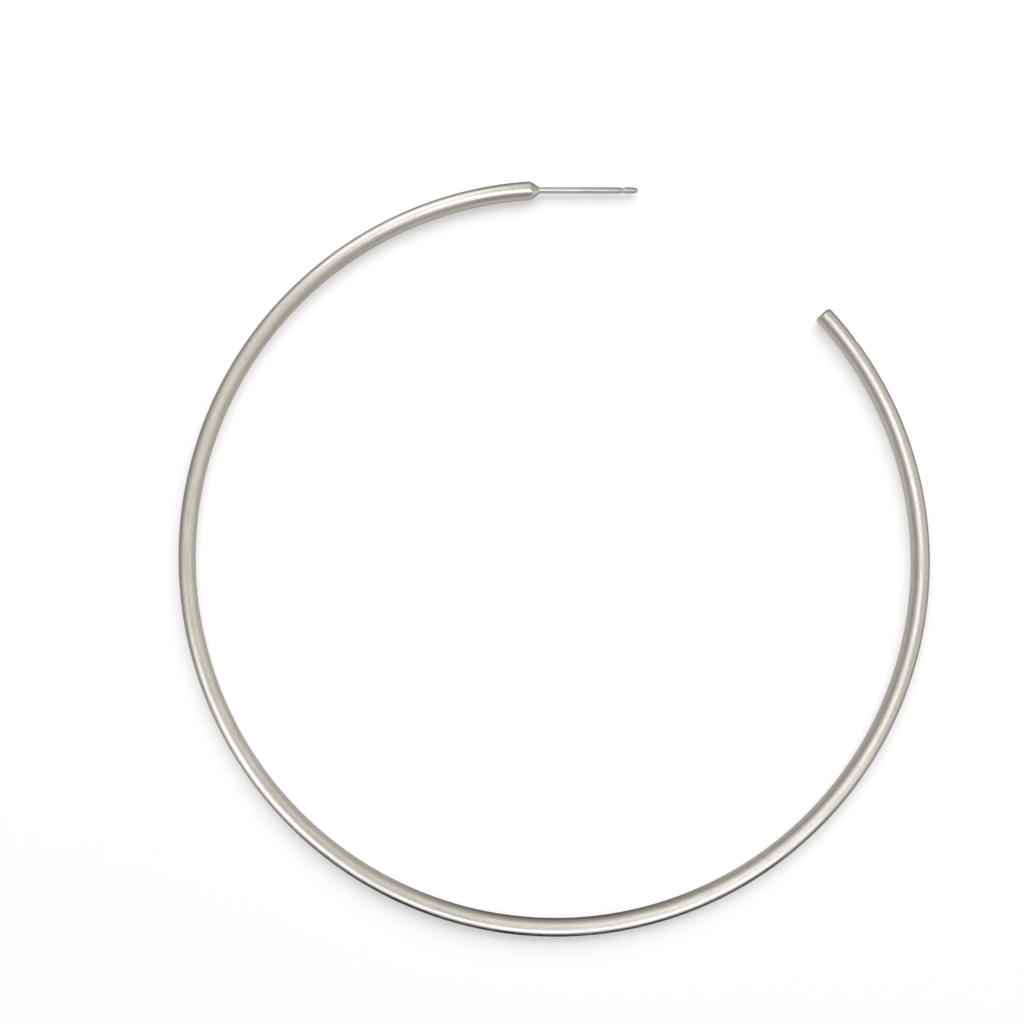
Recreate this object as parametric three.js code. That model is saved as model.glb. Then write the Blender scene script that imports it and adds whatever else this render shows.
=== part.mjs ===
// A large open hoop earring: one round wire bent to three quarters of a ring and a bit more, with a thin
// straight ear post soldered to one end. It lies flat, so its underside is at z = 0. Sizes are in
// millimetres. +X runs along the post towards its tip, +Y from the middle of the hoop towards the post,
// and the origin is under the middle of the whole earring.
import * as THREE from "three";

// Hoop wire
const WIRE_HEIGHT = 2.07; // thickness square to the plane of the hoop, the same all the way round
const FREE_END_ROUNDING = 0.3; // radius worn on the edge of the square-cut free end

// The wire's bends, from the shoulder to the free end: a turn in degrees on a radius of the centre line
const WIRE_BENDS = [
  { turn: 50, radius: 41.0 },
  { turn: 114, radius: 41.45 },
  { turn: 145, radius: 40.9 },
];

// Width of the wire in the plane of the hoop, by the degrees turned since the shoulder
const WIRE_WIDTHS = [
  { turned: 0, width: 2.1 },
  { turned: 12, width: 2.07 },
  { turned: 40, width: 1.97 },
  { turned: 90, width: 1.91 },
  { turned: 150, width: 2.08 },
  { turned: 200, width: 2.13 },
  { turned: 290, width: 2.12 },
  { turned: 309, width: 2.05 },
];

// Ear post, which stands out from the shoulder
const POST_LENGTH = 11.0;
const POST_RADIUS = 0.35;
const TIP_FLAT_RADIUS = 0.13; // the small flat at the very end
const NOSE_LENGTH = 0.7; // the bullet-shaped stretch behind that flat
const NOTCH_START = 1.4; // distance from the tip to the notch that a push-on back clicks into
const NOTCH_LENGTH = 0.56;
const NOTCH_DEPTH = 0.1;

// Solder shoulder between the wire and the post
const SHOULDER_LENGTH = 1.3;
const SHOULDER_TURN = 4; // degrees between the post and the start of the wire
const FILLET_LENGTH = 0.2; // hollow curve at the post
const FILLET_RADIUS = 0.47; // radius of the shoulder where that curve ends
const CROWN_LENGTH = 0.52; // rounded curve at the wire
const CROWN_RADIUS = 0.89; // radius of the shoulder where that curve starts

// Facets
const SIDES = 24; // flats round the wire and the post, one of them straight down
const TURN_STEP = 3; // degrees between the sections along the wire
const CURVE_STEPS = 5; // straight steps in each small curve of the outline
const RIGHT_ANGLE = Math.PI / 2;

const wireRadius = WIRE_HEIGHT / 2;
const bends = WIRE_BENDS.map(({ turn, radius }) => ({
  turn: THREE.MathUtils.degToRad(turn),
  length: THREE.MathUtils.degToRad(turn) * radius,
}));
const wireStart = POST_LENGTH + SHOULDER_LENGTH;
const wireEnd = wireStart + bends.reduce((sum, { length }) => sum + length, 0);

// Points along a curve, without its first point, which the outline already has.
function pointsAlong(curve) {
  return curve.getPoints(CURVE_STEPS).slice(1);
}

// A bend with square control: it leaves `from` and reaches `to` along the lines that meet at `corner`.
function curveThrough(from, corner, to) {
  const [a, b, c] = [from, corner, to].map(([radius, station]) => new THREE.Vector2(radius, station));
  return pointsAlong(new THREE.QuadraticBezierCurve(a, b, c));
}

// The post's half outline as (radius, station), where station is the distance from the tip.
function postOutline() {
  const noseEnd = [POST_RADIUS, NOSE_LENGTH];
  const notchEnd = NOTCH_START + NOTCH_LENGTH;
  const notchFloor = [POST_RADIUS - 2 * NOTCH_DEPTH, NOTCH_START + NOTCH_LENGTH / 2];
  return [
    new THREE.Vector2(0, 0),
    new THREE.Vector2(TIP_FLAT_RADIUS, 0),
    ...curveThrough([TIP_FLAT_RADIUS, 0], [POST_RADIUS, NOSE_LENGTH / 5], noseEnd),
    new THREE.Vector2(POST_RADIUS, NOTCH_START),
    ...curveThrough([POST_RADIUS, NOTCH_START], notchFloor, [POST_RADIUS, notchEnd]),
    new THREE.Vector2(POST_RADIUS, POST_LENGTH),
  ];
}

// The shoulder's half outline: a hollow curve off the post, a cone, and a rounded curve into the wire.
function shoulderOutline() {
  const filletEnd = [FILLET_RADIUS, POST_LENGTH + FILLET_LENGTH];
  const filletCorner = [POST_RADIUS, POST_LENGTH + FILLET_LENGTH / 4];
  const crownStart = [CROWN_RADIUS, wireStart - CROWN_LENGTH];
  const crownCorner = [wireRadius, wireStart - (CROWN_LENGTH * 2) / 3];
  return [
    ...curveThrough([POST_RADIUS, POST_LENGTH], filletCorner, filletEnd),
    new THREE.Vector2(...crownStart),
    ...curveThrough(crownStart, crownCorner, [wireRadius, wireStart]),
  ];
}

// The wire's half outline: a section every TURN_STEP degrees, then the rounded edge of the flat free end.
function wireOutline() {
  const points = [];
  const roundingStart = wireEnd - FREE_END_ROUNDING;
  let bendStart = wireStart;
  for (const { turn, length } of bends) {
    const steps = Math.round(THREE.MathUtils.radToDeg(turn) / TURN_STEP);
    for (let step = 1; step <= steps; step += 1) {
      points.push(new THREE.Vector2(wireRadius, bendStart + (length * step) / steps));
    }
    bendStart += length;
  }
  points[points.length - 1].y = roundingStart;
  const flatRadius = wireRadius - FREE_END_ROUNDING;
  const rounding = new THREE.EllipseCurve(
    flatRadius, roundingStart, FREE_END_ROUNDING, FREE_END_ROUNDING, 0, RIGHT_ANGLE,
  );
  return [...points, ...pointsAlong(rounding), new THREE.Vector2(0, wireEnd)];
}

// Where the centre line is at a station, and which way it heads. It starts at the tip, heading along -X,
// and turns left along the shoulder and each bend.
function centreLineAt(station) {
  const stretches = [
    { turn: 0, length: POST_LENGTH },
    { turn: THREE.MathUtils.degToRad(SHOULDER_TURN), length: SHOULDER_LENGTH },
    ...bends,
  ];
  const point = new THREE.Vector2(0, 0);
  let heading = Math.PI;
  let left = station;
  for (const { turn, length } of stretches) {
    const share = Math.min(left / length, 1);
    const turned = turn * share;
    // the chord of an arc is shorter than the arc, and heads along the mean of its two ends' headings
    const chord = length * share * (turned ? Math.sin(turned / 2) / (turned / 2) : 1);
    point.x += chord * Math.cos(heading + turned / 2);
    point.y += chord * Math.sin(heading + turned / 2);
    heading += turned;
    left -= length * share;
  }
  return { point, heading };
}

// The wire's width at a station as a share of its height, read between the rows of WIRE_WIDTHS.
function widthShareAt(station) {
  const { heading } = centreLineAt(station);
  const turned = THREE.MathUtils.radToDeg(heading - Math.PI) - SHOULDER_TURN;
  if (turned <= 0) return 1 + (WIRE_WIDTHS[0].width / WIRE_HEIGHT - 1) * shoulderShareAt(station);
  const next = Math.max(1, WIRE_WIDTHS.findIndex((row) => row.turned >= turned));
  const [before, after] = [WIRE_WIDTHS[next - 1], WIRE_WIDTHS[next]];
  const share = (turned - before.turned) / (after.turned - before.turned);
  return THREE.MathUtils.lerp(before.width, after.width, share) / WIRE_HEIGHT;
}

// 0 on the post, 1 at the start of the wire.
function shoulderShareAt(station) {
  return THREE.MathUtils.clamp((station - POST_LENGTH) / SHOULDER_LENGTH, 0, 1);
}

// Bends a straight turned shape onto the centre line. Its Y axis holds the stations, its X axis becomes
// the direction away from the middle of the hoop, and its Z axis stays upright.
function bendOntoCentreLine(geometry) {
  const positions = geometry.getAttribute("position");
  for (let i = 0; i < positions.count; i += 1) {
    const station = positions.getY(i);
    const across = positions.getX(i) * widthShareAt(station);
    const { point, heading } = centreLineAt(station);
    const x = point.x + across * Math.cos(heading - RIGHT_ANGLE);
    const y = point.y + across * Math.sin(heading - RIGHT_ANGLE);
    positions.setXYZ(i, x, y, positions.getZ(i));
  }
}

// Puts the origin under the middle of the shape, at the level of its underside.
function standOnOrigin(geometry) {
  geometry.computeBoundingBox();
  const { min, max } = geometry.boundingBox;
  geometry.translate(-(min.x + max.x) / 2, -(min.y + max.y) / 2, -min.z);
}

// The wire, shoulder and post: one outline turned round, then bent. The outline is widened so that the
// flats of the faceted section, and not its corners, are at the true radius.
function hoopGeometry() {
  const cornerShare = 1 / Math.cos(Math.PI / SIDES);
  const outline = [...postOutline(), ...shoulderOutline(), ...wireOutline()];
  const points = outline.map(({ x, y }) => new THREE.Vector2(x * cornerShare, y));
  const geometry = new THREE.LatheGeometry(points, SIDES, Math.PI / SIDES);
  bendOntoCentreLine(geometry);
  standOnOrigin(geometry);
  geometry.computeVertexNormals();
  return geometry;
}

const satinSilver = new THREE.MeshStandardMaterial({ color: 0xc9c5bd, roughness: 0.34, metalness: 1 });

const hoopWithPost = new THREE.Mesh(hoopGeometry(), satinSilver);
hoopWithPost.name = "hoop_with_post";

const earring = new THREE.Group();
earring.add(hoopWithPost);

export default earring;
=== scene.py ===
"""The looks of a large open hoop earring of satin silver wire, which lies flat on a white table.

The hoop's wire, solder shoulder and ear post are one piece. It is made here as a fine turned outline that is
bent onto the same centre line as the CAD node, with the unevenness that hand finishing leaves in it.
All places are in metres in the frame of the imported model, unless a name ends in _MM or _DEG.
"""

import math

import bpy
import numpy as np
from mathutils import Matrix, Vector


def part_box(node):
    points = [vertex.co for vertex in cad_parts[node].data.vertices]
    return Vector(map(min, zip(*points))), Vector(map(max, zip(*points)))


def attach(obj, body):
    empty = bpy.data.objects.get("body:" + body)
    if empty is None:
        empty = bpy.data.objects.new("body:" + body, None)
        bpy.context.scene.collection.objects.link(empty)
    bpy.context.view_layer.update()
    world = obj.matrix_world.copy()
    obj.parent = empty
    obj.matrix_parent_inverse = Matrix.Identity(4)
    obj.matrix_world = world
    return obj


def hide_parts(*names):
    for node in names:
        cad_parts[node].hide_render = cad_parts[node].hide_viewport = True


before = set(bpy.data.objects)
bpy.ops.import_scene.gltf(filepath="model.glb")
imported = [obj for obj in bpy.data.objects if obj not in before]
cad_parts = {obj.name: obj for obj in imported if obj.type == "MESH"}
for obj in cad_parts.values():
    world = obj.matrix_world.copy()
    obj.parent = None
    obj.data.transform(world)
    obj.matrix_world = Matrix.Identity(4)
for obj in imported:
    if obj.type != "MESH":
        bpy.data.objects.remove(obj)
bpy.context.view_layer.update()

MM = 0.001
CAD_NODE = "hoop_with_post"
GRAIN_ATTRIBUTE = "grain_mm"

# Sizes of the wire, shoulder and post: the same driving dimensions as the CAD node's. The bends go from the
# shoulder to the free end, on a radius of the centre line, and the widths go by the degrees turned since the
# shoulder. Stations, on wire and post alike, are distances from the post's tip along the centre line.
WIRE_HEIGHT_MM = 2.07
FREE_END_ROUNDING_MM = 0.3
WIRE_BENDS = [
    {"turn_deg": 50, "radius_mm": 41.0},
    {"turn_deg": 114, "radius_mm": 41.45},
    {"turn_deg": 145, "radius_mm": 40.9},
]
WIRE_WIDTHS = [
    {"turned_deg": 0, "width_mm": 2.10},
    {"turned_deg": 12, "width_mm": 2.07},
    {"turned_deg": 40, "width_mm": 1.97},
    {"turned_deg": 90, "width_mm": 1.91},
    {"turned_deg": 150, "width_mm": 2.08},
    {"turned_deg": 200, "width_mm": 2.13},
    {"turned_deg": 290, "width_mm": 2.12},
    {"turned_deg": 309, "width_mm": 2.05},
]
POST_LENGTH_MM = 11.0
POST_RADIUS_MM = 0.35
TIP_FLAT_RADIUS_MM = 0.13
NOSE_LENGTH_MM = 0.7
NOSE_CORNER_MM = NOSE_LENGTH_MM / 5  # a curve's corner is where its two ends' directions meet
NOTCH_START_MM = 1.4
NOTCH_LENGTH_MM = 0.56
NOTCH_DEPTH_MM = 0.10
SHOULDER_LENGTH_MM = 1.3
SHOULDER_TURN_DEG = 4
FILLET_LENGTH_MM = 0.2
FILLET_RADIUS_MM = 0.47
FILLET_CORNER_MM = FILLET_LENGTH_MM / 4
CROWN_LENGTH_MM = 0.52
CROWN_RADIUS_MM = 0.89
CROWN_CORNER_MM = CROWN_LENGTH_MM * 2 / 3

WIRE_RADIUS_MM = WIRE_HEIGHT_MM / 2
WIRE_START_MM = POST_LENGTH_MM + SHOULDER_LENGTH_MM
WIRE_LENGTH_MM = sum(math.radians(b["turn_deg"]) * b["radius_mm"] for b in WIRE_BENDS)
WIRE_END_MM = WIRE_START_MM + WIRE_LENGTH_MM

# What hand finishing and wear leave on the wire. All of it is taken off the true surface, never added.
# Turns about the wire start at the outside of the hoop and go over the top.
WAVE_DEPTH_MM = 0.005  # the waves take off between nothing and twice this
WAVE_COUNT = 24
WAVE_LENGTHS_MM = (5.0, 20.0)
WAVE_LAPS = (0, 3)  # how often a wave repeats about the wire: 0, 1 or 2 times
WAVE_SEED = 7
OUTER_CORNER_ROUNDING_MM = 0.42  # the free end's edge is worn rounder on the outside of the hoop
DENT_SPREAD = 2  # a dent goes this many times as far about the wire as along it
DENTS = [
    {"station_mm": 229.3, "turn_deg": 0, "length_mm": 0.3, "depth_mm": 0.05},
    {"station_mm": 196.0, "turn_deg": 40, "length_mm": 0.5, "depth_mm": 0.012},
    {"station_mm": 118.0, "turn_deg": 75, "length_mm": 0.7, "depth_mm": 0.012},
    {"station_mm": 61.0, "turn_deg": 130, "length_mm": 0.5, "depth_mm": 0.010},
    {"station_mm": 26.0, "turn_deg": 60, "length_mm": 0.4, "depth_mm": 0.012},
]

# Fineness of the mesh
SIDES = 64
CURVE_STEPS = 14
POST_STEP_MM = 0.3
WIRE_STEP_MM = 0.25
END_FACE_SHARES = (0.75, 0.5, 0.25, 0.0)  # the rings on the free end's flat face, down to its middle
LEAST_ROUNDING_MM = 1e-6  # keeps the inside of the hoop, which has no extra rounding, from dividing by 0


# ---------------------------------------------------------------- the outline and the centre line


def curve_points(start, corner, end):
    """A quadratic curve's points as (radius, station) in millimetres, without its first point."""
    t = np.linspace(0, 1, CURVE_STEPS + 1)[1:, None]
    a, b, c = np.array(start), np.array(corner), np.array(end)
    return (1 - t) ** 2 * a + 2 * t * (1 - t) * b + t**2 * c


def straight_points(radius, start, end, step):
    """Evenly spaced points of a straight stretch, without its first point."""
    count = max(1, round((end - start) / step))
    stations = np.linspace(start, end, count + 1)[1:]
    return np.column_stack([np.full(count, radius), stations])


def post_outline():
    """The tip's flat, the bullet nose, the notch and the plain stretch of the post."""
    notch_end = NOTCH_START_MM + NOTCH_LENGTH_MM
    notch_middle = NOTCH_START_MM + NOTCH_LENGTH_MM / 2
    flat_edge = (TIP_FLAT_RADIUS_MM, 0.0)
    nose_corner = (POST_RADIUS_MM, NOSE_CORNER_MM)
    nose_end = (POST_RADIUS_MM, NOSE_LENGTH_MM)
    notch_start = (POST_RADIUS_MM, NOTCH_START_MM)
    # a curve goes halfway in to its corner, so the notch's corner is twice as deep as the notch
    notch_corner = (POST_RADIUS_MM - 2 * NOTCH_DEPTH_MM, notch_middle)
    return np.vstack([
        [(0.0, 0.0), (TIP_FLAT_RADIUS_MM / 2, 0.0), flat_edge],
        curve_points(flat_edge, nose_corner, nose_end),
        straight_points(POST_RADIUS_MM, NOSE_LENGTH_MM, NOTCH_START_MM, POST_STEP_MM),
        curve_points(notch_start, notch_corner, (POST_RADIUS_MM, notch_end)),
        straight_points(POST_RADIUS_MM, notch_end, POST_LENGTH_MM, POST_STEP_MM),
    ])


def shoulder_outline():
    """A hollow curve off the post, a cone, and a rounded curve into the wire."""
    post_edge = (POST_RADIUS_MM, POST_LENGTH_MM)
    fillet_corner = (POST_RADIUS_MM, POST_LENGTH_MM + FILLET_CORNER_MM)
    fillet_end = (FILLET_RADIUS_MM, POST_LENGTH_MM + FILLET_LENGTH_MM)
    crown_start = (CROWN_RADIUS_MM, WIRE_START_MM - CROWN_LENGTH_MM)
    crown_corner = (WIRE_RADIUS_MM, WIRE_START_MM - CROWN_CORNER_MM)
    share = np.linspace(0, 1, CURVE_STEPS // 2 + 1)[1:, None]
    cone = np.array(fillet_end) + share * (np.array(crown_start) - np.array(fillet_end))
    return np.vstack([
        curve_points(post_edge, fillet_corner, fillet_end),
        cone,
        curve_points(crown_start, crown_corner, (WIRE_RADIUS_MM, WIRE_START_MM)),
    ])


def wire_outline():
    """The long plain wire, the rounded edge of its free end and that end's flat face."""
    rounding_start = WIRE_END_MM - FREE_END_ROUNDING_MM
    flat_radius = WIRE_RADIUS_MM - FREE_END_ROUNDING_MM
    angle = np.linspace(0, math.pi / 2, CURVE_STEPS + 1)[1:]
    rounding = np.column_stack([
        flat_radius + FREE_END_ROUNDING_MM * np.cos(angle),
        rounding_start + FREE_END_ROUNDING_MM * np.sin(angle),
    ])
    face = [(flat_radius * share, WIRE_END_MM) for share in END_FACE_SHARES]
    return np.vstack([
        straight_points(WIRE_RADIUS_MM, WIRE_START_MM, rounding_start, WIRE_STEP_MM),
        rounding,
        face,
    ])


def centre_line(stations):
    """Points (x, y) and headings of the centre line at these distances from the post's tip."""
    stretches = [(0.0, POST_LENGTH_MM), (math.radians(SHOULDER_TURN_DEG), SHOULDER_LENGTH_MM)]
    stretches += [
        (math.radians(b["turn_deg"]), math.radians(b["turn_deg"]) * b["radius_mm"])
        for b in WIRE_BENDS
    ]
    points = np.zeros((len(stations), 2))
    headings = np.full(len(stations), math.pi)
    left = np.array(stations, float)
    for turn, length in stretches:
        share = np.clip(left / length, 0, 1)
        turned = turn * share
        # sinc gives how much shorter the chord of an arc is than the arc
        chord = length * share * np.sinc(turned / 2 / math.pi)
        middle = headings + turned / 2
        points += np.column_stack([chord * np.cos(middle), chord * np.sin(middle)])
        headings = headings + turned
        left = left - length * share
    return points, headings


def width_shares(stations, headings):
    """The section's width as a share of its height: 1 on the post, then as WIRE_WIDTHS says."""
    turned = np.degrees(headings - math.pi) - SHOULDER_TURN_DEG
    rows = [row["turned_deg"] for row in WIRE_WIDTHS]
    widths = [row["width_mm"] / WIRE_HEIGHT_MM for row in WIRE_WIDTHS]
    on_wire = np.interp(turned, rows, widths)
    blend = np.clip((stations - POST_LENGTH_MM) / SHOULDER_LENGTH_MM, 0, 1)
    return 1 + (on_wire - 1) * blend


# ---------------------------------------------------------------- the mesh


def wear(stations, turns):
    """How many millimetres are worn off the surface, by station (rows) and turn about the wire (columns)."""
    random = np.random.default_rng(WAVE_SEED)
    s, t = stations[:, None], turns[None, :]
    waves = np.zeros((len(stations), len(turns)))
    for _ in range(WAVE_COUNT):
        length = random.uniform(*WAVE_LENGTHS_MM)
        laps = random.integers(*WAVE_LAPS)
        start = random.uniform(0, 2 * math.pi)
        waves += np.cos(2 * math.pi * s / length + laps * t + start)
    worn = WAVE_DEPTH_MM * (1 + waves / np.abs(waves).max())
    for dent in DENTS:
        along = (s - dent["station_mm"]) / dent["length_mm"]
        turned = (t - math.radians(dent["turn_deg"]) + math.pi) % (2 * math.pi) - math.pi
        around = WIRE_RADIUS_MM * turned / (DENT_SPREAD * dent["length_mm"])
        worn = worn + dent["depth_mm"] * np.exp(-along**2 - around**2)
    return worn + corner_wear(s, t)


def quarter_round(s, rounding):
    """How far the free end's edge draws in at each station, when it has this radius of rounding."""
    reach = np.clip((s - (WIRE_END_MM - rounding)) / np.maximum(rounding, LEAST_ROUNDING_MM), 0, 1)
    return rounding * (1 - np.sqrt(1 - reach**2))


def corner_wear(s, t):
    """The extra rounding of the free end's edge, most on the outside of the hoop and none on the inside."""
    worn_rounding = OUTER_CORNER_ROUNDING_MM * (1 + np.cos(t)) / 2
    return np.maximum(quarter_round(s, worn_rounding) - quarter_round(s, FREE_END_ROUNDING_MM), 0)


def hoop_mesh():
    """The bent hoop: vertices in millimetres, faces, and each vertex's station and turn about the wire."""
    outline = np.vstack([post_outline(), shoulder_outline(), wire_outline()])
    radii, stations = outline[:, 0], outline[:, 1]
    points, headings = centre_line(stations)
    shares = width_shares(stations, headings)
    turns = np.arange(SIDES) * 2 * math.pi / SIDES
    outward = np.column_stack([np.sin(headings), -np.cos(headings)])
    ring = slice(1, -1)  # the first and last points are the middles of the two end faces
    # where the section is thinner than the wire, the wear is less in proportion
    worn = radii[ring, None] - wear(stations[ring], turns) * (radii[ring, None] / WIRE_RADIUS_MM)
    across = worn * shares[ring, None] * np.cos(turns)[None, :]
    height = worn * np.sin(turns)[None, :]
    xy = points[ring, None, :] + across[..., None] * outward[ring, None, :]
    body = np.concatenate([xy, height[..., None]], axis=2).reshape(-1, 3)
    tip = [*points[0], 0.0]
    end = [*points[-1], 0.0]
    vertices = np.vstack([body, tip, end])
    station_of = np.concatenate([np.repeat(stations[ring], SIDES), stations[[0, -1]]])
    turn_of = np.concatenate([np.tile(turns, len(stations) - 2), [0.0, 0.0]])
    return vertices, hoop_faces(len(stations) - 2), station_of, turn_of


def hoop_faces(rings):
    """Quads between the rings and a fan of triangles on each end face, all facing out."""
    tip, end = rings * SIDES, rings * SIDES + 1
    faces = []
    for r in range(rings - 1):
        for k in range(SIDES):
            a, b = r * SIDES + k, r * SIDES + (k + 1) % SIDES
            faces.append((a, b, b + SIDES, a + SIDES))
    last = (rings - 1) * SIDES
    for k in range(SIDES):
        following = (k + 1) % SIDES
        faces.append((tip, following, k))
        faces.append((end, last + k, last + following))
    return faces


def on_the_cad(vertices):
    """The vertices in metres, where the CAD node is and just inside its box."""
    low, high = (np.array(corner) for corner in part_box(CAD_NODE))
    made_low, made_high = vertices.min(0), vertices.max(0)
    share = min(1.0, *((high - low) / ((made_high - made_low) * MM)))
    middle = (made_low + made_high) / 2
    return (vertices - middle) * MM * share + (low + high) / 2


def make_hoop(material):
    """The hoop piece, smooth shaded, with the attribute that the grain of its metal follows."""
    vertices, faces, station_of, turn_of = hoop_mesh()
    mesh = bpy.data.meshes.new("hoop_and_post")
    mesh.from_pydata(on_the_cad(vertices).tolist(), [], faces)
    mesh.polygons.foreach_set("use_smooth", [True] * len(faces))
    about_wire = WIRE_RADIUS_MM * np.array([np.cos(turn_of), np.sin(turn_of)])
    grain = np.column_stack([station_of, *about_wire])
    attribute = mesh.attributes.new(GRAIN_ATTRIBUTE, "FLOAT_VECTOR", "POINT")
    attribute.data.foreach_set("vector", grain.astype(np.float32).ravel())
    mesh.materials.append(material)
    mesh.update()
    piece = bpy.data.objects.new("hoop_and_post", mesh)
    bpy.context.scene.collection.objects.link(piece)
    return piece


# ---------------------------------------------------------------- node helpers


def new_material(name):
    """A material with an empty node tree."""
    material = bpy.data.materials.new(name)
    material.use_nodes = True
    material.node_tree.nodes.clear()
    return material


def fill(tree, socket, value):
    """Gives a socket a number, a vector, a colour or another node's output."""
    if isinstance(value, bpy.types.NodeSocket):
        tree.links.new(value, socket)
    else:
        socket.default_value = value


def maths(tree, operation, *values):
    """A Math node's output."""
    node = tree.nodes.new("ShaderNodeMath")
    node.operation = operation
    for socket, value in zip(node.inputs, values):
        fill(tree, socket, value)
    return node.outputs[0]


def vector_maths(tree, operation, *values):
    """A Vector Math node's output: a number for a length or a dot product, and a vector otherwise."""
    node = tree.nodes.new("ShaderNodeVectorMath")
    node.operation = operation
    for socket, value in zip(node.inputs, values):
        fill(tree, socket, value)
    return node.outputs["Value" if operation in ("LENGTH", "DOT_PRODUCT") else "Vector"]


def noise(tree, place, scale, detail, roughness=0.6):
    """Noise between about 0 and 1. The scale is a vector, so that it can be drawn out along the wire."""
    node = tree.nodes.new("ShaderNodeTexNoise")
    fill(tree, node.inputs["Vector"], vector_maths(tree, "MULTIPLY", place, scale))
    node.inputs["Scale"].default_value = 1.0
    node.inputs["Detail"].default_value = detail
    node.inputs["Roughness"].default_value = roughness
    return node.outputs["Fac"]


def ranged(tree, value, from_low, from_high, to_low, to_high):
    """Goes smoothly from to_low to to_high while the value goes from from_low to from_high."""
    node = tree.nodes.new("ShaderNodeMapRange")
    node.interpolation_type = "SMOOTHSTEP"
    fill(tree, node.inputs["Value"], value)
    fill(tree, node.inputs["From Min"], from_low)
    fill(tree, node.inputs["From Max"], from_high)
    fill(tree, node.inputs["To Min"], to_low)
    fill(tree, node.inputs["To Max"], to_high)
    return node.outputs["Result"]


def mixed(tree, share, first, second):
    """The first colour where the share is 0 and the second where it is 1."""
    node = tree.nodes.new("ShaderNodeMix")
    node.data_type = "RGBA"
    # a Mix node has a socket of the same name for each data type, so they are told apart by identifier
    sockets = {socket.identifier: socket for socket in node.inputs}
    fill(tree, sockets["Factor_Float"], share)
    fill(tree, sockets["A_Color"], first)
    fill(tree, sockets["B_Color"], second)
    return next(socket for socket in node.outputs if socket.identifier == "Result_Color")


def bumped(tree, height, depth, strength, normal=None):
    """A normal with relief of this depth in metres, on top of another relief if there is one."""
    node = tree.nodes.new("ShaderNodeBump")
    node.inputs["Strength"].default_value = strength
    node.inputs["Distance"].default_value = depth
    fill(tree, node.inputs["Height"], height)
    if normal:
        fill(tree, node.inputs["Normal"], normal)
    return node.outputs["Normal"]


# ---------------------------------------------------------------- the silver


BRIGHT_SILVER = (0.95, 0.93, 0.90, 1)
DULL_SILVER = (0.70, 0.685, 0.62, 1)
ROSY_SILVER = (0.93, 0.85, 0.80, 1)
POST_SILVER = (0.95, 0.94, 0.925, 1)
WIRE_ROUGHNESS = 0.38
POST_ROUGHNESS = 0.20
POLISHED_LENGTH_MM = 16.0  # from the post on, the shoulder and the wire go from shiny to satin

# Noise on the metal. Scales are in features per millimetre, along the wire and twice across it.
STREAKS = {"scale": (0.22, 6.0, 6.0), "detail": 5}
FINE_STREAKS = {"scale": (1.1, 22.0, 22.0), "detail": 4}
MOTTLE = {"scale": (2.6, 4.2, 4.2), "detail": 5, "roughness": 0.7}
BLOOM = {"scale": (0.16, 0.5, 0.5), "detail": 3}
SCUFFS = {"scale": (7.0, 1.6, 1.6), "detail": 3, "roughness": 0.75}

# How the noise is used: between two of its levels, the effect goes from one amount to another
DULL_STREAKS = (0.40, 0.62, 0.0, 0.5)
DULL_SPOTS = (0.42, 0.68, 0.0, 0.5)
ROSY_BLOOM = (0.45, 0.65, 0.0, 0.25)
STREAK_ROUGHNESS = (0.35, 0.65, -0.06, 0.06)
BLOOM_ROUGHNESS = (0.3, 0.7, -0.04, 0.04)
SCUFF_ROUGHNESS = (0.58, 0.78, 0.0, 0.12)
STREAK_BUMP = {"depth": 0.00005, "strength": 0.4}
FINE_STREAK_BUMP = {"depth": 0.000015, "strength": 0.4}
MOTTLE_BUMP = {"depth": 0.000015, "strength": 0.35}


def silver_colour(tree, station, streaks, mottle, bloom):
    """Bright silver with dull streaks and spots, plainer on the post, and a faint rosy bloom over it all."""
    dullness = maths(tree, "ADD", ranged(tree, streaks, *DULL_STREAKS), ranged(tree, mottle, *DULL_SPOTS))
    silver = mixed(tree, dullness, BRIGHT_SILVER, DULL_SILVER)
    on_wire = ranged(tree, station, POST_LENGTH_MM, WIRE_START_MM, 0.0, 1.0)
    silver = mixed(tree, on_wire, POST_SILVER, silver)
    return mixed(tree, ranged(tree, bloom, *ROSY_BLOOM), silver, ROSY_SILVER)


def silver_roughness(tree, station, streaks, bloom, scuffs):
    """Shiny on the post and satin on the wire, a little uneven, and duller where it is scuffed."""
    satin_start = POST_LENGTH_MM + POLISHED_LENGTH_MM
    roughness = ranged(tree, station, POST_LENGTH_MM, satin_start, POST_ROUGHNESS, WIRE_ROUGHNESS)
    roughness = maths(tree, "ADD", roughness, ranged(tree, streaks, *STREAK_ROUGHNESS))
    roughness = maths(tree, "ADD", roughness, ranged(tree, bloom, *BLOOM_ROUGHNESS))
    return maths(tree, "ADD", roughness, ranged(tree, scuffs, *SCUFF_ROUGHNESS))


def silver_normal(tree, streaks, fine_streaks, mottle):
    """The relief of the grain and of the mottling."""
    normal = bumped(tree, streaks, **STREAK_BUMP)
    normal = bumped(tree, fine_streaks, **FINE_STREAK_BUMP, normal=normal)
    return bumped(tree, mottle, **MOTTLE_BUMP, normal=normal)


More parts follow.
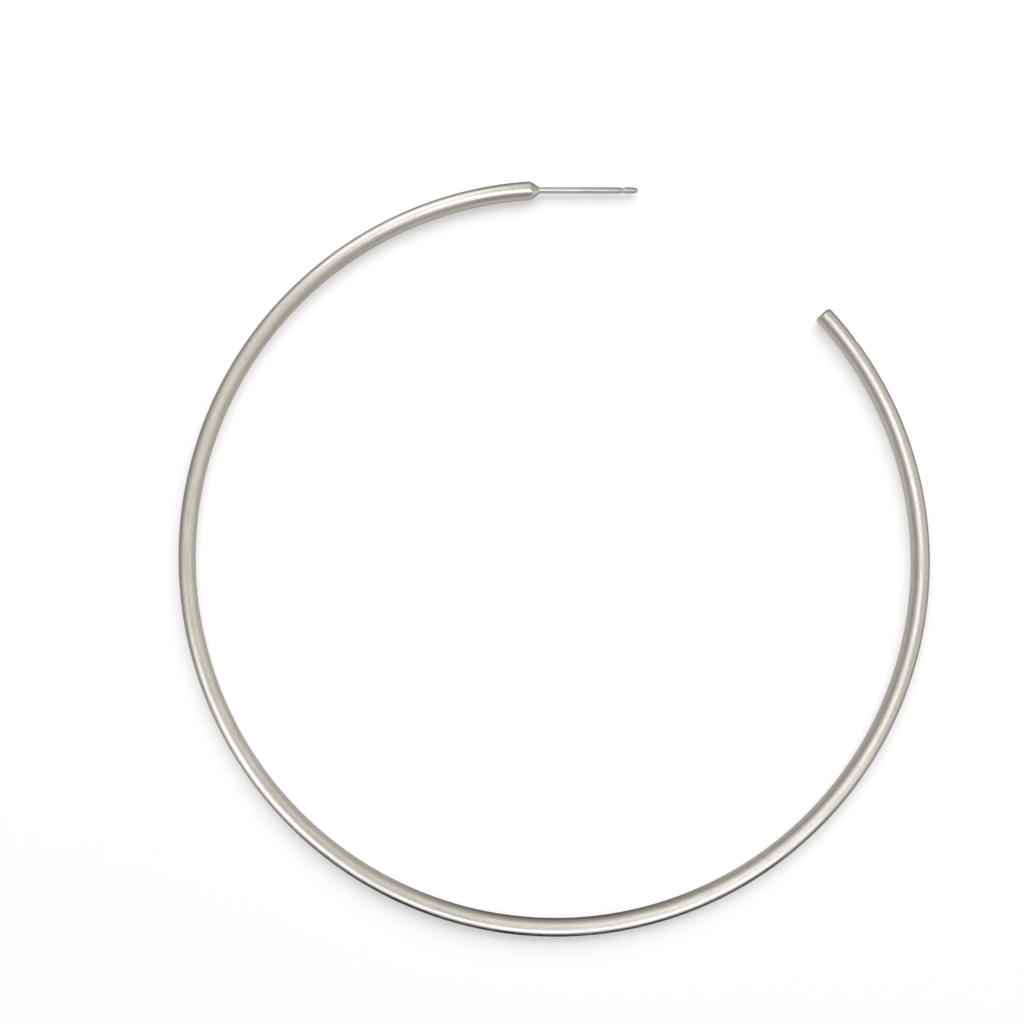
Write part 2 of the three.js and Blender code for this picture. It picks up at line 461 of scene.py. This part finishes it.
def satin_silver():
    """Satin silver. The grain attribute holds millimetres along the wire (X) and about it (Y, Z)."""
    material = new_material("satin_silver")
    tree = material.node_tree
    attribute = tree.nodes.new("ShaderNodeAttribute")
    attribute.attribute_name = GRAIN_ATTRIBUTE
    place = attribute.outputs["Vector"]
    parts = tree.nodes.new("ShaderNodeSeparateXYZ")
    fill(tree, parts.inputs["Vector"], place)
    station = parts.outputs["X"]

    streaks = noise(tree, place, **STREAKS)
    fine_streaks = noise(tree, place, **FINE_STREAKS)
    mottle = noise(tree, place, **MOTTLE)
    bloom = noise(tree, place, **BLOOM)
    scuffs = noise(tree, place, **SCUFFS)

    metal = tree.nodes.new("ShaderNodeBsdfPrincipled")
    metal.inputs["Metallic"].default_value = 1.0
    fill(tree, metal.inputs["Base Color"], silver_colour(tree, station, streaks, mottle, bloom))
    fill(tree, metal.inputs["Roughness"], silver_roughness(tree, station, streaks, bloom, scuffs))
    fill(tree, metal.inputs["Normal"], silver_normal(tree, streaks, fine_streaks, mottle))
    output = tree.nodes.new("ShaderNodeOutputMaterial")
    fill(tree, output.inputs["Surface"], metal.outputs["BSDF"])
    return material


# ---------------------------------------------------------------- what only the metal's reflections see


FLOOR_SIZE = 3.0
SEEN_FLOOR_LEVEL = -0.0001  # just under the floor, so that the two never coincide
TUBE_MAJOR_RADIUS = 0.0412
TUBE_MINOR_RADIUS = 0.008
TUBE_HEIGHT = WIRE_RADIUS_MM * MM
TUBE_SEGMENTS_ALONG = 144
TUBE_SEGMENTS_ROUND = 48
TUBE_LEVEL = 1.25  # all the brightnesses below are multiplied by this
ROOM_LIGHT = 0.15  # the dim room all round
FLOOR_SEEN_INSIDE = 0.40
FLOOR_SEEN_OUTSIDE = 0.22
FLOOR_SEEN_IN_SHADE = 0.08  # the floor inside the hoop at its -Y end
CONTACT_SHADE = 0.3  # what is left of the floor's brightness right beside the wire
CONTACT_SHADE_REACH = 0.0024  # the distance from the wire's centre line at which it is all there again

# Soft patches of light round the wire. Azimuth is the place along the hoop (0 at +X, 90 at +Y). Tilt is the
# direction from straight up: positive leans away from the middle of the hoop. Going round the hoop, a patch
# fades to about a third at `along` from its middle, and round the wire at `across`. These four are in
# degrees.
TUBE_LIGHTS = [
    {"azimuth": 30, "tilt": 5, "along": 35, "across": 20, "strength": 1.0},
    {"azimuth": 40, "tilt": 50, "along": 40, "across": 20, "strength": 0.2},
    {"azimuth": 85, "tilt": -12, "along": 12, "across": 10, "strength": 1.0},
    {"azimuth": 105, "tilt": 8, "along": 18, "across": 18, "strength": 1.0},
    {"azimuth": 105, "tilt": -85, "along": 18, "across": 10, "strength": 0.25},
    {"azimuth": 115, "tilt": 60, "along": 22, "across": 20, "strength": 1.1},
    {"azimuth": 150, "tilt": 20, "along": 40, "across": 50, "strength": 0.4},
    {"azimuth": 195, "tilt": -45, "along": 60, "across": 50, "strength": 0.4},
    {"azimuth": 210, "tilt": 40, "along": 25, "across": 20, "strength": 0.9},
    {"azimuth": 225, "tilt": 75, "along": 22, "across": 18, "strength": 0.6},
    {"azimuth": 260, "tilt": 50, "along": 40, "across": 18, "strength": 1.2},
    {"azimuth": 300, "tilt": 50, "along": 25, "across": 18, "strength": 0.8},
    {"azimuth": 275, "tilt": -20, "along": 40, "across": 30, "strength": 0.5},
    {"azimuth": 330, "tilt": 5, "along": 45, "across": 30, "strength": 0.7},
    {"azimuth": 0, "tilt": 75, "along": 60, "across": 20, "strength": 0.4},
    {"azimuth": 25, "tilt": -85, "along": 60, "across": 20, "strength": 0.3},
]

# The reflections have a dark horizon beyond the hoop's -Y end. It fades in by how far the direction from the
# hoop's axis points to -Y, as a cosine, and by the tilt. The floor outside the hoop darkens with it, and the
# floor inside it only near the very end: painted shade of the wire on the floor that the metal reflects.
DARK_END_COSINES = (0.5, 0.9)
DARK_HORIZON_TILTS_DEG = (62, 78)
SHADED_INSIDE_COSINES = (0.85, 1.0)
WARM_GLOW = (1.0, 0.965, 0.90, 1)
WHITE_GLOW = (0.98, 1.0, 1.04, 1)
WHITE_GLOW_STRENGTHS = (0.6, 1.4)  # the light goes from warm to white between these strengths


def glowing(material, strength, colour):
    """Finishes a material as one that only glows."""
    tree = material.node_tree
    glow = tree.nodes.new("ShaderNodeEmission")
    fill(tree, glow.inputs["Color"], colour)
    fill(tree, glow.inputs["Strength"], strength)
    output = tree.nodes.new("ShaderNodeOutputMaterial")
    fill(tree, output.inputs["Surface"], glow.outputs["Emission"])
    material.cycles.emission_sampling = "NONE"  # a reflection finds it by itself, so it isn't a lamp
    return material


def flat_place(tree):
    """The shaded place's distance from the hoop's axis, direction from there (x, y, 0), and height."""
    place = tree.nodes.new("ShaderNodeNewGeometry").outputs["Position"]
    flat = vector_maths(tree, "MULTIPLY", place, (1, 1, 0))
    height = vector_maths(tree, "DOT_PRODUCT", place, (0, 0, 1))
    return vector_maths(tree, "LENGTH", flat), vector_maths(tree, "NORMALIZE", flat), height


def soft_patch(tree, place, light):
    """1 at the middle of a patch of light and falling off smoothly round it. `place` is (x, y, tilt)."""
    columns = ("azimuth", "tilt", "along", "across")
    azimuth, tilt, along, across = (math.radians(light[column]) for column in columns)
    offset = vector_maths(tree, "SUBTRACT", place, (math.cos(azimuth), math.sin(azimuth), tilt))
    share = vector_maths(tree, "MULTIPLY", offset, (1 / along, 1 / along, 1 / across))
    distance_squared = vector_maths(tree, "DOT_PRODUCT", share, share)
    return maths(tree, "EXPONENT", maths(tree, "MULTIPLY", distance_squared, -1.0))


def tube_material():
    """The inside of the light tube: the dim room, the soft patches of TUBE_LIGHTS and the dark horizon."""
    material = new_material("light_tube")
    tree = material.node_tree
    radius, outward, height = flat_place(tree)
    away = maths(tree, "SUBTRACT", radius, TUBE_MAJOR_RADIUS)
    tilt = maths(tree, "ARCTAN2", away, maths(tree, "SUBTRACT", height, TUBE_HEIGHT))
    place = vector_maths(tree, "ADD", outward, vector_maths(tree, "MULTIPLY", (0, 0, 1), tilt))
    total = ROOM_LIGHT * TUBE_LEVEL
    for light in TUBE_LIGHTS:
        patch = soft_patch(tree, place, light)
        total = maths(tree, "MULTIPLY_ADD", patch, light["strength"] * TUBE_LEVEL, total)
    toward_end = vector_maths(tree, "DOT_PRODUCT", outward, (0, -1, 0))
    at_end = ranged(tree, toward_end, *DARK_END_COSINES, 0.0, 1.0)
    tilts = [math.radians(angle) for angle in DARK_HORIZON_TILTS_DEG]
    dark = maths(tree, "MULTIPLY", at_end, ranged(tree, tilt, *tilts, 0.0, 1.0))
    strength = maths(tree, "MULTIPLY", total, maths(tree, "SUBTRACT", 1.0, dark))
    colour = mixed(tree, ranged(tree, total, *WHITE_GLOW_STRENGTHS, 0.0, 1.0), WARM_GLOW, WHITE_GLOW)
    return glowing(material, strength, colour)


def only_in_reflections(piece):
    """Keeps a stage piece for glossy rays alone."""
    piece.visible_camera = False
    piece.visible_diffuse = False
    piece.visible_transmission = False
    piece.visible_volume_scatter = False
    piece.visible_shadow = False


def make_light_tube():
    """A glowing tube that follows the hoop round and that only the metal's reflections see."""
    bpy.ops.mesh.primitive_torus_add(
        location=(0, 0, TUBE_HEIGHT),
        major_radius=TUBE_MAJOR_RADIUS,
        minor_radius=TUBE_MINOR_RADIUS,
        major_segments=TUBE_SEGMENTS_ALONG,
        minor_segments=TUBE_SEGMENTS_ROUND,
    )
    tube = bpy.context.active_object
    tube.name = "light_tube"
    tube.data.materials.append(tube_material())
    only_in_reflections(tube)


def make_plane(name, z, material):
    """A level square as large as the floor."""
    half = FLOOR_SIZE / 2
    corners = [(-half, -half, z), (half, -half, z), (half, half, z), (-half, half, z)]
    mesh = bpy.data.meshes.new(name)
    mesh.from_pydata(corners, [], [(0, 1, 2, 3)])
    mesh.materials.append(material)
    plane = bpy.data.objects.new(name, mesh)
    bpy.context.scene.collection.objects.link(plane)
    return plane


def make_seen_floor():
    """The floor as the metal reflects it, a glowing card with painted shade: darker outside the hoop, and
    with the wire's painted shadow at its -Y end and beside the wire.
    """
    material = new_material("floor_in_reflections")
    tree = material.node_tree
    radius, outward, _ = flat_place(tree)
    toward_end = vector_maths(tree, "DOT_PRODUCT", outward, (0, -1, 0))
    outside = ranged(tree, toward_end, *DARK_END_COSINES, FLOOR_SEEN_OUTSIDE, 0.0)
    inside = ranged(tree, toward_end, *SHADED_INSIDE_COSINES, FLOOR_SEEN_INSIDE, FLOOR_SEEN_IN_SHADE)
    is_outside = maths(tree, "GREATER_THAN", radius, TUBE_MAJOR_RADIUS)
    # painted shadow: the wire's shade on the reflected floor, not lit by any lamp
    strength = maths(tree, "MULTIPLY_ADD", is_outside, maths(tree, "SUBTRACT", outside, inside), inside)
    from_wire = maths(tree, "ABSOLUTE", maths(tree, "SUBTRACT", radius, TUBE_MAJOR_RADIUS))
    reach = (WIRE_RADIUS_MM * MM, CONTACT_SHADE_REACH)
    contact = ranged(tree, from_wire, *reach, CONTACT_SHADE * TUBE_LEVEL, TUBE_LEVEL)
    glowing(material, maths(tree, "MULTIPLY", strength, contact), WARM_GLOW)
    card = make_plane("floor_in_reflections", SEEN_FLOOR_LEVEL, material)
    only_in_reflections(card)


# ---------------------------------------------------------------- the floor, the soft light and the camera


FLOOR_COLOUR = (0.80, 0.80, 0.80, 1)
FLOOR_GLOW = 0.44
WORLD_STRENGTH = 1.0
KEY_HEIGHT = 1.0
KEY_OFFSET = 1.5
KEY_AZIMUTH_DEG = 75
KEY_SIZE = 2.2
KEY_POWER = 37
FILL_HEIGHT = 1.5
FILL_SIZE = 3.0
FILL_POWER = 11

CAMERA_LENS_MM = 100
CAMERA_SENSOR_MM = 36
CAMERA_CLIP_START = 0.01
PICTURE_WIDTH = 0.11485  # what the picture shows across, at the height of the wire
CAMERA_OVER = (-0.00473, 0.00528)  # the point of the table under the camera


def make_floor():
    """The white table: partly lit and partly glowing, as a light pad does, so that shadows stay pale."""
    material = new_material("white_floor")
    tree = material.node_tree
    surface = tree.nodes.new("ShaderNodeBsdfPrincipled")
    surface.inputs["Base Color"].default_value = FLOOR_COLOUR
    surface.inputs["Roughness"].default_value = 1.0
    surface.inputs["Specular IOR Level"].default_value = 0.0
    surface.inputs["Emission Color"].default_value = (1, 1, 1, 1)
    surface.inputs["Emission Strength"].default_value = FLOOR_GLOW
    output = tree.nodes.new("ShaderNodeOutputMaterial")
    fill(tree, output.inputs["Surface"], surface.outputs["BSDF"])
    floor = make_plane("floor", 0.0, material)
    floor.visible_glossy = False


def make_soft_box(name, place, size, power):
    """A large square light that faces straight down and that the metal doesn't mirror."""
    data = bpy.data.lights.new(name, "AREA")
    data.shape = "SQUARE"
    data.size = size
    data.energy = power
    light = bpy.data.objects.new(name, data)
    light.location = place
    light.visible_glossy = False
    light.visible_camera = False
    bpy.context.scene.collection.objects.link(light)


def make_lights():
    """A key off towards the post, which throws the wide pale shadow, and a weak fill straight above."""
    azimuth = math.radians(KEY_AZIMUTH_DEG)
    key_place = (KEY_OFFSET * math.cos(azimuth), KEY_OFFSET * math.sin(azimuth), KEY_HEIGHT)
    make_soft_box("key", key_place, KEY_SIZE, KEY_POWER)
    make_soft_box("fill", (0, 0, FILL_HEIGHT), FILL_SIZE, FILL_POWER)


def make_world():
    """White beyond the floor, for the camera only: it lights nothing."""
    world = bpy.data.worlds.new("studio")
    world.use_nodes = True
    background = world.node_tree.nodes["Background"]
    background.inputs["Color"].default_value = (1, 1, 1, 1)
    background.inputs["Strength"].default_value = WORLD_STRENGTH
    world.cycles_visibility.glossy = False
    world.cycles_visibility.diffuse = False
    bpy.context.scene.world = world


def make_camera():
    """Straight above the table, so that the earring lies right of the picture's middle and a little low."""
    data = bpy.data.cameras.new("camera")
    data.lens = CAMERA_LENS_MM
    data.sensor_width = CAMERA_SENSOR_MM
    data.clip_start = CAMERA_CLIP_START
    camera = bpy.data.objects.new("camera", data)
    distance = PICTURE_WIDTH * CAMERA_LENS_MM / CAMERA_SENSOR_MM
    camera.location = (*CAMERA_OVER, distance + WIRE_RADIUS_MM * MM)
    bpy.context.scene.collection.objects.link(camera)
    bpy.context.scene.camera = camera


# ---------------------------------------------------------------- putting it together


hoop = make_hoop(satin_silver())
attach(hoop, "root")
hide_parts(CAD_NODE)

make_floor()
make_seen_floor()
make_light_tube()
make_lights()
make_world()
make_camera()
bpy.context.scene.view_settings.view_transform = "Standard"
